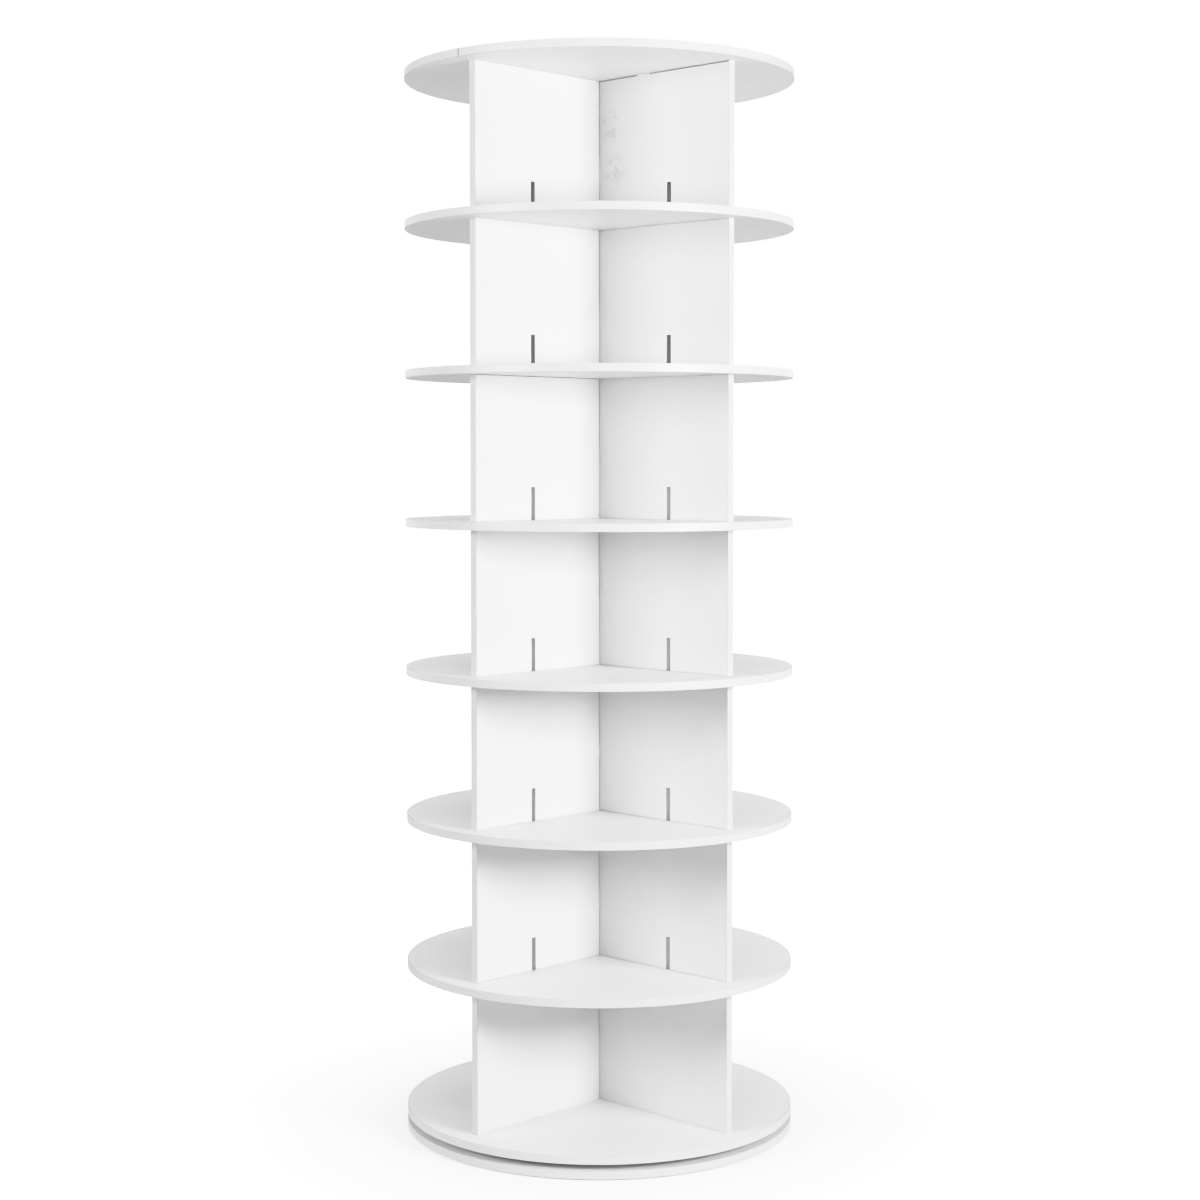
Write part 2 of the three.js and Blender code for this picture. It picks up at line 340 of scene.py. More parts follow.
def band_finish():
    """White plastic edge band: smoother than the boards, with faint buffing marks along it."""
    marks_per_metre, mark_stretch, mark_depth = 420, (0.25, 0.25, 2.6), 0.02 * MM
    patches_per_metre = 24
    patch_roughness, mark_roughness = (0.34, 0.42), (-0.05, 0.05)
    s = Shader("white_edge_band", IOR=BAND_IOR)
    marks = s.noise(marks_per_metre, detail=3, where=s.stretch(mark_stretch))
    patches = s.noise(patches_per_metre, detail=4)
    colour = s.blend(s.spread(patches, UPPER), *BAND_TONES)
    fine = s.spread(marks, MOST, mark_roughness)
    roughness = s.maths("ADD", fine, s.spread(patches, MOST, patch_roughness))
    return s.finish(colour, roughness, s.bump(marks, mark_depth))


def core_finish():
    """The fibreboard that shows where the boards were cut: matt, with short fibres, primed white. In the
    two upper tiers it is darkened with painted shade, for the shade in the slots, notches and grooves
    there."""
    fibres_per_metre, fibre_stretch, fibre_depth = 900, (1.0, 1.0, 3.0), 0.12 * MM
    patches_per_metre, patch_roughness = 70, (0.72, 0.9)
    s = Shader("cut_fibreboard")
    fibres = s.noise(fibres_per_metre, detail=5, roughness=0.7, where=s.stretch(fibre_stretch))
    patches = s.noise(patches_per_metre, detail=3)
    share = s.spread(fibres, UPPER)
    primed = s.blend(share, *PRIMED_TONES)
    cut_shade = s.blend(share, *UPPER_CUT_SHADE_TONES)
    height = s.node("ShaderNodeSeparateXYZ", Vector=s.where).outputs["Z"]
    # Painted shade: the cut board turns darker towards the two upper tiers
    colour = s.blend(s.spread(height, CUT_SHADE_LEVELS), primed, cut_shade)
    return s.finish(colour, s.spread(patches, MOST, patch_roughness), s.bump(fibres, fibre_depth))


def glue_finish():
    """The hot-melt glue on a board's rim, which shows in the joint of the band: grey with dust."""
    clots_per_metre, clot_depth, clot_roughness = 240, 0.05 * MM, (0.45, 0.65)
    s = Shader("rim_glue")
    clots = s.noise(clots_per_metre, detail=3)
    colour = s.blend(s.spread(clots, UPPER), *GLUE_TONES)
    return s.finish(colour, s.spread(clots, MOST, clot_roughness), s.bump(clots, clot_depth))


def zinc_finish():
    """Bright zinc plating on the screws, cloudy and faintly blue."""
    clouds_per_metre, cloud_depth, cloud_roughness = 600, 0.01 * MM, (0.22, 0.42)
    s = Shader("zinc_plate", Metallic=1.0)
    cloud = s.noise(clouds_per_metre, detail=4)
    colour = s.blend(s.spread(cloud, MOST), *ZINC_TONES)
    return s.finish(colour, s.spread(cloud, MOST, cloud_roughness), s.bump(cloud, cloud_depth))


def turned_metal_finish(name, tones):
    """Turned metal: fine rings left by the tool round the axis, and a light haze."""
    ring_rate, ring_depth = 16000, 0.006 * MM  # the rate is in radians to the metre
    haze_per_metre, haze_roughness = 90, (0.2, 0.34)
    s = Shader(name, Metallic=1.0)
    flat = s.node("ShaderNodeVectorMath", {"operation": "MULTIPLY"})
    s.feed(flat.inputs[0], s.where)
    flat.inputs[1].default_value = (1, 1, 0)
    radius = s.length(flat.outputs["Vector"])
    rings = s.maths("SINE", s.maths("MULTIPLY", radius, ring_rate), 0)
    haze = s.noise(haze_per_metre, detail=4)
    colour = s.blend(s.spread(haze, MOST), *tones)
    return s.finish(colour, s.spread(haze, MOST, haze_roughness), s.bump(rings, ring_depth))


def foam_finish():
    """White anti-slip foam: matt and finely pitted, a little dusty."""
    pits_per_metre, pit_depth = 900.0, 0.25 * MM
    dust_per_metre, dust_span, dust_roughness = 60, (0.4, 0.75), (0.78, 0.94)
    s = Shader("anti_slip_foam")
    pits = s.node("ShaderNodeTexVoronoi", Vector=s.where, Scale=pits_per_metre).outputs["Distance"]
    dust = s.noise(dust_per_metre, detail=5, roughness=0.65)
    colour = s.blend(s.spread(dust, dust_span), *FOAM_TONES)
    return s.finish(colour, s.spread(dust, MOST, dust_roughness), s.bump(pits, pit_depth))


LAMINATE = laminate_finish()
EDGE_BAND = band_finish()
CORE = core_finish()
GLUE = glue_finish()
ZINC = zinc_finish()
ALUMINIUM = turned_metal_finish("turned_aluminium", ALUMINIUM_TONES)
BALL_STEEL = turned_metal_finish("polished_steel", STEEL_TONES)
FOAM = foam_finish()


# Helpers for meshes


def new_piece(name, data):
    """Links an object for a mesh or curve, at the origin."""
    piece = bpy.data.objects.new(name, data)
    bpy.context.scene.collection.objects.link(piece)
    return piece


def from_bmesh(name, shape, materials=()):
    """A piece from a bmesh, which is freed."""
    data = bpy.data.meshes.new(name)
    shape.to_mesh(data)
    shape.free()
    for material in materials:
        data.materials.append(material)
    return new_piece(name, data)


def evaluated(piece):
    """A piece's mesh with its modifiers in it, which are then removed."""
    depsgraph = bpy.context.evaluated_depsgraph_get()
    made = bpy.data.meshes.new_from_object(piece.evaluated_get(depsgraph))
    piece.modifiers.clear()
    return made


def smooth_by_angle(piece, degrees=SHARP_ANGLE):
    """Shades a piece smooth, but for its sharper edges and flat faces, and turns its faces outwards."""
    shape = bmesh.new()
    shape.from_mesh(piece.data)
    bmesh.ops.remove_doubles(shape, verts=shape.verts, dist=MERGE_DISTANCE)
    bmesh.ops.recalc_face_normals(shape, faces=shape.faces)
    limit = math.radians(degrees)
    for face in shape.faces:
        face.smooth = True
    for edge in shape.edges:
        edge.smooth = len(edge.link_faces) == 2 and edge.calc_face_angle(0) < limit
    shape.to_mesh(piece.data)
    shape.free()
    weighing = piece.modifiers.new("flat_faces", "WEIGHTED_NORMAL")
    weighing.keep_sharp = True
    piece.data = evaluated(piece)


def turned_profile(shape, profile, steps):
    """Adds a closed [radius, height] profile, turned about Z, to a bmesh."""
    rows = []
    for step in range(steps):
        angle = 2 * math.pi * step / steps
        rows.append([shape.verts.new((r * math.cos(angle), r * math.sin(angle), z)) for r, z in profile])
    for here, there in zip(rows, rows[1:] + rows[:1]):
        for point in range(len(profile)):
            nearby = (point + 1) % len(profile)
            shape.faces.new((here[point], there[point], there[nearby], here[nearby]))


def rounded_rectangle(inner, outer, low, high, ease):
    """The corners of a ring's section as [radius, height] points, each corner rounded."""
    points = []
    corners = [(outer, low, -1), (outer, high, 0), (inner, high, 1), (inner, low, 2)]
    for radius, height, quarter in corners:
        centre_r = radius + (ease if radius == inner else -ease)
        centre_z = height + (ease if height == low else -ease)
        for step in range(CORNER_STEPS + 1):
            angle = QUARTER * (quarter + step / CORNER_STEPS)
            points.append((centre_r + ease * math.cos(angle), centre_z + ease * math.sin(angle)))
    return points


# Helpers for geometry trees


class Tree:
    """A geometry tree with one geometry in, one out, and a named input for each of its sizes."""

    def __init__(self, name, **inputs):
        self.tree = bpy.data.node_groups.new(name, "GeometryNodeTree")
        face = self.tree.interface
        face.new_socket("Geometry", in_out="INPUT", socket_type="NodeSocketGeometry")
        face.new_socket("Geometry", in_out="OUTPUT", socket_type="NodeSocketGeometry")
        for label, kind in inputs.items():
            face.new_socket(label, in_out="INPUT", socket_type="NodeSocket" + kind)
        self.given = self.tree.nodes.new("NodeGroupInput").outputs
        self.out = self.tree.nodes.new("NodeGroupOutput").inputs["Geometry"]

    def node(self, kind, settings=None, **inputs):
        made = self.tree.nodes.new("GeometryNode" + kind)
        for label, value in (settings or {}).items():
            setattr(made, label, value)
        for label, value in inputs.items():
            for one in value if isinstance(value, list) else [value]:
                self.feed(made.inputs[label.replace("_", " ")], one)
        return made.outputs[0]

    def feed(self, socket, value):
        if isinstance(value, bpy.types.NodeSocket):
            self.tree.links.new(value, socket)
        else:
            socket.default_value = value

    def maths(self, operation, first, second):
        made = self.tree.nodes.new("ShaderNodeMath")
        made.operation = operation
        self.feed(made.inputs[0], first)
        self.feed(made.inputs[1], second)
        return made.outputs["Value"]

    def vector(self, x, y, z):
        made = self.tree.nodes.new("ShaderNodeCombineXYZ")
        for label, value in zip("XYZ", (x, y, z)):
            self.feed(made.inputs[label], value)
        return made.outputs["Vector"]

    def finish(self, geometry, material):
        """Ends the tree: instances made real, and the material set."""
        real = self.node("RealizeInstances", Geometry=geometry)
        if material is not None:
            real = self.node("SetMaterial", Geometry=real, Material=material)
        self.tree.links.new(real, self.out)
        return self.tree


def grow(piece, tree, **values):
    """Runs a tree on a piece and leaves its result as a plain mesh."""
    modifier = piece.modifiers.new("shape", "NODES")
    modifier.node_group = tree
    for item in tree.interface.items_tree:
        if item.name in values:
            modifier[item.identifier] = values[item.name]
    made = evaluated(piece)
    made.name = piece.name
    if piece.type == "MESH":
        piece.data = made
        return piece
    name = piece.name
    bpy.data.objects.remove(piece)
    return new_piece(name, made)


DIFFERENCE = {"operation": "DIFFERENCE", "solver": "EXACT"}
FILLED = {"fill_type": "NGON"}


def round_board_tree():
    """A round board: a disc, less a cross-shaped groove in its top face where it has one."""
    t = Tree(
        "round_board",
        Radius="Float",
        Thickness="Float",
        Grooved="Bool",
        GrooveReach="Float",
        GrooveWidth="Float",
        GrooveDepth="Float",
        Face="Material",
        Cut="Material",
        Rim="Material",
    )
    g = t.given
    half = t.maths("MULTIPLY", g["Thickness"], 0.5)
    sizes = {"Radius": g["Radius"], "Depth": g["Thickness"]}
    disc = t.node("MeshCylinder", FILLED, Vertices=ROUND_STEPS, **sizes)
    side = disc.node.outputs["Side"]
    disc = t.node("SetMaterial", Geometry=disc, Material=g["Face"])
    disc = t.node("SetMaterial", Geometry=disc, Material=g["Rim"], Selection=side)
    disc = t.node("Transform", Geometry=disc, Translation=t.vector(0, 0, half))
    length = t.maths("MULTIPLY", g["GrooveReach"], 2)
    deep = t.maths("MULTIPLY", g["GrooveDepth"], 2)
    grooves = []
    for sizes in ((length, g["GrooveWidth"], deep), (g["GrooveWidth"], length, deep)):
        bar = t.node("MeshCube", Size=t.vector(*sizes))
        bar = t.node("Transform", Geometry=bar, Translation=t.vector(0, 0, g["Thickness"]))
        grooves.append(t.node("SetMaterial", Geometry=bar, Material=g["Cut"]))
    cut = t.node("MeshBoolean", DIFFERENCE, Mesh_1=disc, Mesh_2=grooves)
    choice = {"False": disc, "True": cut}
    board = t.node("Switch", {"input_type": "GEOMETRY"}, Switch=g["Grooved"], **choice)
    return t.finish(board, None)


def screw_holes_tree():
    """Cuts a screw hole for each wing in what it is given, each with room for a countersunk head."""
    t = Tree(
        "screw_holes",
        Circle="Float",
        Turn="Float",
        Face="Float",
        Flip="Float",
        Depth="Float",
        ShankRadius="Float",
        HeadRadius="Float",
        HeadHeight="Float",
        HeadSink="Float",
        Cut="Material",
    )
    g = t.given
    shank_depth = t.maths("ADD", g["Depth"], OVERRUN)
    shank = t.node("MeshCylinder", FILLED, Vertices=HOLE_STEPS, Radius=g["ShankRadius"], Depth=shank_depth)
    shank_level = t.maths("SUBTRACT", OVERRUN, t.maths("MULTIPLY", shank_depth, 0.5))
    shank = t.node("Transform", Geometry=shank, Translation=t.vector(0, 0, shank_level))
    cone = t.node(
        "MeshCone",
        FILLED,
        Vertices=HOLE_STEPS,
        Radius_Top=g["HeadRadius"],
        Radius_Bottom=g["ShankRadius"],
        Depth=g["HeadHeight"],
    )
    cone_level = t.maths("MULTIPLY", t.maths("ADD", g["HeadHeight"], g["HeadSink"]), -1)
    cone = t.node("Transform", Geometry=cone, Translation=t.vector(0, 0, cone_level))
    mouth_depth = t.maths("ADD", g["HeadSink"], OVERRUN)
    mouth = t.node("MeshCylinder", FILLED, Vertices=HOLE_STEPS, Radius=g["HeadRadius"], Depth=mouth_depth)
    mouth_level = t.maths("SUBTRACT", t.maths("MULTIPLY", mouth_depth, 0.5), g["HeadSink"])
    mouth = t.node("Transform", Geometry=mouth, Translation=t.vector(0, 0, mouth_level))
    ring = t.node("MeshCircle", {"fill_type": "NONE"}, Vertices=WINGS, Radius=g["Circle"])
    ring = t.node(
        "Transform",
        Geometry=ring,
        Translation=t.vector(0, 0, g["Face"]),
        Rotation=t.vector(0, 0, g["Turn"]),
    )
    holes = []
    for cutter in (shank, cone, mouth):
        turned = t.node("Transform", Geometry=cutter, Rotation=t.vector(g["Flip"], 0, 0))
        placed = t.node("InstanceOnPoints", Points=ring, Instance=turned)
        placed = t.node("RealizeInstances", Geometry=placed)
        holes.append(t.node("SetMaterial", Geometry=placed, Material=g["Cut"]))
    bored = t.node("MeshBoolean", DIFFERENCE, Mesh_1=g["Geometry"], Mesh_2=holes)
    return t.finish(bored, None)


def band_tree():
    """An edge band: a strip with rounded corners, swept along the path that it is given."""
    t = Tree("edge_band", Width="Float", Height="Float", Ease="Float", Finish="Material")
    g = t.given
    section = t.node("CurvePrimitiveQuadrilateral", Width=g["Width"], Height=g["Height"])
    section = t.node("FilletCurve", {"mode": "POLY"}, Curve=section, Radius=g["Ease"], Count=CORNER_STEPS)
    swept = t.node("CurveToMesh", Curve=g["Geometry"], Profile_Curve=section, Fill_Caps=True)
    return t.finish(swept, g["Finish"])


def scatter_tree():
    """Copies of one template, each at a point, turned as the point's own attribute says."""
    t = Tree("copies", Template="Object", Finish="Material")
    g = t.given
    template = t.tree.nodes.new("GeometryNodeObjectInfo")
    template.transform_space = "ORIGINAL"
    t.feed(template.inputs["Object"], g["Template"])
    turn = t.node("InputNamedAttribute", {"data_type": "FLOAT_VECTOR"}, Name="turn")
    placed = t.node(
        "InstanceOnPoints", Points=g["Geometry"], Instance=template.outputs["Geometry"], Rotation=turn
    )
    return t.finish(placed, g["Finish"])


ROUND_BOARD = round_board_tree()
SCREW_HOLES = screw_holes_tree()
BAND_SWEEP = band_tree()
COPIES = scatter_tree()


def copies(name, template, places, material):
    """One piece from copies of a template, at (position, euler turn) places."""
    data = bpy.data.meshes.new(name)
    data.from_pydata([position for position, _ in places], [], [])
    turns = data.attributes.new("turn", "FLOAT_VECTOR", "POINT")
    turns.data.foreach_set("vector", [number for _, turn in places for number in turn])
    return grow(new_piece(name, data), COPIES, Template=template, Finish=material)


def path_piece(name, points):
    """A straight-jointed open path as a curve object, for the band tree."""
    data = bpy.data.curves.new(name, "CURVE")
    data.dimensions = "3D"
    spline = data.splines.new("POLY")
    spline.points.add(len(points) - 1)
    spline.points.foreach_set("co", [number for point in points for number in (*point, 1.0)])
    return new_piece(name, data)


# Round boards and their rims


def rim_band(name, level, joint_angle):
    """The band round a board's rim, open by a hair at its joint."""
    middle = BOARD_RADIUS - BAND / 2
    gap = BAND_JOINT / BOARD_RADIUS
    sweep = 2 * math.pi - gap
    points = []
    for step in range(ROUND_STEPS + 1):
        angle = joint_angle + gap / 2 + sweep * step / ROUND_STEPS
        points.append((middle * math.cos(angle), middle * math.sin(angle), level + BOARD / 2))
    path = path_piece(name, points)
    return grow(path, BAND_SWEEP, Width=BAND, Height=BOARD, Ease=BAND_EASE, Finish=EDGE_BAND)


def bore(piece, circle, face, depth, turn=0.0, from_beneath=False, head=SCREW_HEAD, cut=CORE):
    """Screw holes in a piece, from a face of it; head is the radius of the heads that sink in them."""
    return grow(
        piece,
        SCREW_HOLES,
        Circle=circle,
        Turn=turn,
        Face=face,
        Flip=math.pi if from_beneath else 0.0,
        Depth=depth,
        ShankRadius=SCREW_SHANK + SCREW_GAP,
        HeadRadius=head + SCREW_GAP,
        HeadHeight=SCREW_HEAD_HEIGHT,
        HeadSink=SCREW_SINK,
        Cut=cut,
    )


def round_board(node, body, joint_angle, grooved=True):
    """One round board in place of its node, with its rim band."""
    low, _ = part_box(node)
    board = new_piece(node + "_board", bpy.data.meshes.new(node + "_board"))
    board = grow(
        board,
        ROUND_BOARD,
        Radius=BOARD_RADIUS - BAND - BAND_LINE,
        Thickness=BOARD,
        Grooved=grooved,
        GrooveReach=WING_REACH + JOINT_GAP,
        GrooveWidth=BOARD + 2 * JOINT_GAP,
        GrooveDepth=GROOVE_DEPTH,
        Face=LAMINATE,
        Cut=CORE,
        Rim=GLUE,
    )
    through = 2 * BOARD
    if node == "base_disc":
        bore(board, BASE_SCREW_CIRCLE, 0.0, through, turn=QUARTER / 2, from_beneath=True)
    elif node == "turntable_shelf":
        bore(board, RING_SCREW_CIRCLE, BOARD, through, head=SCREW_SHANK + HAIR)
    else:
        bore(board, SLOT_FROM_AXIS, BOARD - (GROOVE_DEPTH if grooved else 0.0), through)
    board.data.transform(Matrix.Translation((0, 0, low.z)))
    smooth_by_angle(board)
    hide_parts(node)
    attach(board, body)
    band = rim_band(node + "_band", low.z, joint_angle)
    smooth_by_angle(band)
    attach(band, body)


# The joints of the rim bands, as angles in plan: only the top board's shows in the photograph
TOP_JOINT = math.radians(-89)
BASE_JOINT = math.radians(134)
OTHER_JOINTS = [math.radians(angle) for angle in (92, 178, 88, 181, 91, 93, 179)]

round_board("base_disc", "base", BASE_JOINT, grooved=False)
round_board("turntable_shelf", "tower", OTHER_JOINTS[0])
for tier in range(2, TIERS + 1):
    round_board(f"shelf_{tier}", "tower", OTHER_JOINTS[tier - 1])
round_board("top_shelf", "tower", TOP_JOINT, grooved=False)


# Upright panels

FITTING = random.Random(FITTING_SEED)
FACE_SLOT, CUT_SLOT = 0, 1


def panel_outline(slotted, notched_from_top, top_gaps, touch):
    """The panel's outline as (along, up) points, from its foot in the groove. Its two ends stop short of
    the board above by the two gaps, and touch, where given, is the stretch that still reaches it."""
    reach = WING_REACH - BAND - BAND_LINE
    notch = BOARD / 2 + LAP_GAP
    notch_height = (PANEL_HEIGHT + LAP_GAP) / 2
    slot_top = GROOVE_DEPTH + SLOT_HEIGHT
    near = SLOT_FROM_AXIS - SLOT_WIDTH / 2
    far = SLOT_FROM_AXIS + SLOT_WIDTH / 2

    def step_round(first, last, foot, height):
        return [(first, foot), (first, height), (last, height), (last, foot)]

    points = [(-reach, 0)]
    if slotted:
        points += step_round(-far, -near, 0, slot_top)
    if not notched_from_top:
        points += step_round(-notch, notch, 0, notch_height)
    if slotted:
        points += step_round(near, far, 0, slot_top)
    first_gap, last_gap = top_gaps
    points += [(reach, 0), (reach, PANEL_HEIGHT - last_gap)]
    if touch:
        points += step_round(touch[1], touch[0], PANEL_HEIGHT - last_gap, PANEL_HEIGHT + PANEL_EASE)
    if notched_from_top:
        top = PANEL_HEIGHT - (first_gap + last_gap) / 2
        points += step_round(notch, -notch, top, PANEL_HEIGHT - notch_height)
    return points + [(-reach, PANEL_HEIGHT - first_gap)]


def add_box(shape, low, high, slot):
    """Adds a box between two corners to a bmesh."""
    low, high = Vector(low), Vector(high)
    for vert in bmesh.ops.create_cube(shape, size=1.0)["verts"]:
        vert.co = (low + high) / 2 + (high - low) * vert.co
        for face in vert.link_faces:
            face.material_index = slot


def foot_cutter():
    """Two bars that cut a panel's foot back on both sides, up to the shadow gap over the shelf."""
    shape = bmesh.new()
    near, far = BOARD / 2 - FOOT_REBATE, BOARD
    for first, last in ((near, far), (-far, -near)):
        low = (-BOARD_RADIUS, first, -GROOVE_DEPTH)
        high = (BOARD_RADIUS, last, GROOVE_DEPTH + FOOT_GAP)
        add_box(shape, low, high, CUT_SLOT)
    return from_bmesh("foot_cutter", shape, (LAMINATE, CORE))


def panel(node, slotted, notched_from_top, cutter):
    """One upright panel in place of its node, with the cut board in its slots and notches."""
    low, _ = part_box(node)
    shape = bmesh.new()
    gaps = WIDE_GAPS.get(node) or [FITTING.uniform(*TOP_GAPS) for _ in range(2)]
    outline = panel_outline(slotted, notched_from_top, gaps, TOUCHES.get(node))
    ring = [shape.verts.new((x, -BOARD / 2, z)) for x, z in outline]
    side = shape.faces.new(ring)
    pushed = bmesh.ops.extrude_face_region(shape, geom=[side])
    far_side = [v for v in pushed["geom"] if isinstance(v, bmesh.types.BMVert)]
    bmesh.ops.translate(shape, vec=(0, BOARD, 0), verts=far_side)
    bmesh.ops.recalc_face_normals(shape, faces=shape.faces)
    for face in shape.faces:
        broad = abs(face.normal.y) > abs(face.normal.x) + abs(face.normal.z)
        face.material_index = FACE_SLOT if broad else CUT_SLOT
    piece = from_bmesh(node + "_board", shape, (LAMINATE, CORE))
    if slotted:
        rebate = piece.modifiers.new("foot", "BOOLEAN")
        rebate.operation = "DIFFERENCE"
        rebate.solver = "EXACT"
        rebate.object = cutter
    ease = piece.modifiers.new("ease", "BEVEL")
    ease.width = PANEL_EASE
    ease.segments = 2
    ease.limit_method = "ANGLE"
    piece.data = evaluated(piece)
    turn = Matrix.Rotation(QUARTER if notched_from_top else 0, 4, "Z")
    piece.data.transform(Matrix.Translation((0, 0, low.z)) @ turn)
    smooth_by_angle(piece)
    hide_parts(node)
    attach(piece, "tower")


def panels():
    """The crossed panels of every tier. Those of the lowest tier have no slots and no rebate."""
    cutter = foot_cutter()
    for tier in range(1, TIERS + 1):
        panel(f"tier_{tier}_panel_x", tier > 1, False, cutter)
        panel(f"tier_{tier}_panel_y", tier > 1, True, cutter)
    bpy.data.objects.remove(cutter)


panels()


def end_bands():
    """The bands on the panels' upright ends, all alike, one at each wing of each tier."""
    strip = path_piece("end_strip", [(0, 0, 0), (0, 0, PANEL_HEIGHT)])
    strip = grow(strip, BAND_SWEEP, Width=BAND, Height=BOARD, Ease=BAND_EASE, Finish=EDGE_BAND)
    middle = WING_REACH - BAND / 2
    places = []
    for tier in range(1, TIERS + 1):
        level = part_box(f"tier_{tier}_panel_x")[0].z
        for turn in WING_TURNS:
            places.append(((middle * math.cos(turn), middle * math.sin(turn), level), (0, 0, turn)))
    bands = copies("panel_end_bands", strip, places, EDGE_BAND)
    bpy.data.objects.remove(strip)
    smooth_by_angle(bands)
    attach(bands, "tower")


end_bands()


# Screws


def thread_rows(length):
    """The rings of a screw's threaded part as [radius, level] points, from its neck to its point."""
    neck = SCREW_HEAD_HEIGHT + SCREW_NECK
    count = round((length - neck) / THREAD_PITCH * THREAD_ROWS)
    rows = []
    for row in range(count + 1):
        depth = neck + (length - neck) * row / count
        thickness = SCREW_POINT_SHARE + (1 - SCREW_POINT_SHARE) * min(1, (length - depth) / SCREW_TIP)
        ring = []
        for side in range(SCREW_SIDES):
            phase = (depth / THREAD_PITCH - side / SCREW_SIDES) % 1
            ridge = max(0, 1 - abs(phase - 0.5) / THREAD_RIDGE_SHARE)
            ring.append(((THREAD_ROOT + (SCREW_SHANK - THREAD_ROOT) * ridge) * thickness, -depth))
        rows.append(ring)
    return rows


def recess_cutter():
    """A cross that narrows downwards."""
    shape = bmesh.new()
    for turn in (0, QUARTER):
        for vert in bmesh.ops.create_cube(shape, size=1.0)["verts"]:
            share = 1.0 if vert.co.z > 0 else RECESS_FLOOR_SHARE
            size = (RECESS_WIDTH * share, RECESS_BLADE * share, 2 * RECESS_DEPTH)
            vert.co = Matrix.Rotation(turn, 3, "Z") @ (vert.co * Vector(size))
    return from_bmesh("recess_cutter", shape, (ZINC,))


def screw_template(name, length):
    """A countersunk screw with a cross recess and a thread, pointing down from its face at level zero."""
    rim_top, rim_foot = HEAD_RIM
    head = [
        (HEAD_FACE_SHARE * SCREW_HEAD, 0),
        (SCREW_HEAD, -rim_top),
        (SCREW_HEAD, -rim_foot),
        (SCREW_SHANK, -SCREW_HEAD_HEIGHT),
    ]
    shape = bmesh.new()
    rings = []
    turns = [2 * math.pi * side / SCREW_SIDES for side in range(SCREW_SIDES)]
    for row in [[point] * SCREW_SIDES for point in head] + thread_rows(length):
        spots = [(r * math.cos(turn), r * math.sin(turn), z) for turn, (r, z) in zip(turns, row)]
        rings.append([shape.verts.new(spot) for spot in spots])
    for upper, lower in zip(rings, rings[1:]):
        for side in range(SCREW_SIDES):
            after = (side + 1) % SCREW_SIDES
            shape.faces.new((upper[side], lower[side], lower[after], upper[after]))
    shape.faces.new(rings[0])
    shape.faces.new(reversed(rings[-1]))
    bmesh.ops.recalc_face_normals(shape, faces=shape.faces)
    screw = from_bmesh(name, shape, (ZINC,))
    cutter = recess_cutter()
    hollow = screw.modifiers.new("recess", "BOOLEAN")
    hollow.operation = "DIFFERENCE"
    hollow.solver = "EXACT"
    hollow.use_self = True
    hollow.object = cutter
    screw.data = evaluated(screw)
    bpy.data.objects.remove(cutter)
    return screw


def screws():
    """The screws of the tower as one piece and those of the base as another, each turned at random."""
    chance = random.Random(SCREW_SEED)
    long_screw = screw_template("long_screw", SCREW_LENGTH)
    names, places = [], []
    for name in sorted(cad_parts):
        if "_screw_" not in name:
            continue
        low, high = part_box(name)
        upwards = name.startswith("turntable")
        names.append(name)
        place = ((low.x + high.x) / 2, (low.y + high.y) / 2, low.z if upwards else high.z)
        places.append((place, (math.pi if upwards else 0, 0, chance.uniform(0, QUARTER))))
    piece = copies("tower_screws", long_screw, places, ZINC)
    bpy.data.objects.remove(long_screw)
    smooth_by_angle(piece, SCREW_SHARP_ANGLE)
    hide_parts(*names)
    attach(piece, "tower")

    short_screw = screw_template("short_screw", BASE_SCREW_LENGTH)
    places = []
    for turn in WING_TURNS:
        angle = turn + QUARTER / 2
        across = Vector((math.cos(angle), math.sin(angle), 0)) * BASE_SCREW_CIRCLE
        place = (across.x, across.y, BASE_LOW.z + SCREW_SINK)
        places.append((place, (math.pi, 0, chance.uniform(0, QUARTER))))
    piece = copies("base_screws", short_screw, places, ZINC)
    bpy.data.objects.remove(short_screw)
    smooth_by_angle(piece, SCREW_SHARP_ANGLE)
    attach(piece, "base")


screws()


# Bearing


def race(wall, side, level):
    """The groove that the balls run in, as points on a ring's wall; side is 1 on the outer ring."""
    radius = BALL + RACE_GAP
    offset = RING_SPACING / 2
    half = math.acos(offset / radius)
    points = []
    for step in range(RACE_STEPS + 1):
        angle = half - 2 * half * step / RACE_STEPS
        depth = radius * math.cos(angle) - offset
        points.append((wall + side * depth, level + radius * math.sin(angle)))
    return points


def bearing_ring(name, node, body, inner, outer, race_points):
    """A turned ring with bevelled edges and a ball race, in place of its node."""
    fixed = body == "base"  # it is the outer ring
    low, high = (corner.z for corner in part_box(node))
    ease = RING_EASE
    shape = bmesh.new()
    lower_outer = [(outer - ease, low), (outer, low + ease)]
    upper_outer = [(outer, high - ease), (outer - ease, high)]
    upper_inner = [(inner + ease, high), (inner, high - ease)]
    lower_inner = [(inner, low + ease), (inner + ease, low)]
    if fixed:
        profile = lower_outer + upper_outer + upper_inner + race_points + lower_inner
    else:
        profile = lower_outer + race_points[::-1] + upper_outer + upper_inner + lower_inner
    turned_profile(shape, profile, RING_STEPS)
    piece = from_bmesh(name, shape, (ALUMINIUM,))
    if fixed:
        bore(
            piece,
            BASE_SCREW_CIRCLE,
            low,
            BASE_SCREW_DEPTH,
            turn=QUARTER / 2,
            from_beneath=True,
            head=SCREW_SHANK + HAIR,
            cut=ALUMINIUM,
        )
    else:
        bore(piece, RING_SCREW_CIRCLE, low, 2 * (high - low), from_beneath=True, cut=ALUMINIUM)
    smooth_by_angle(piece)
    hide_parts(node)
    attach(piece, body)


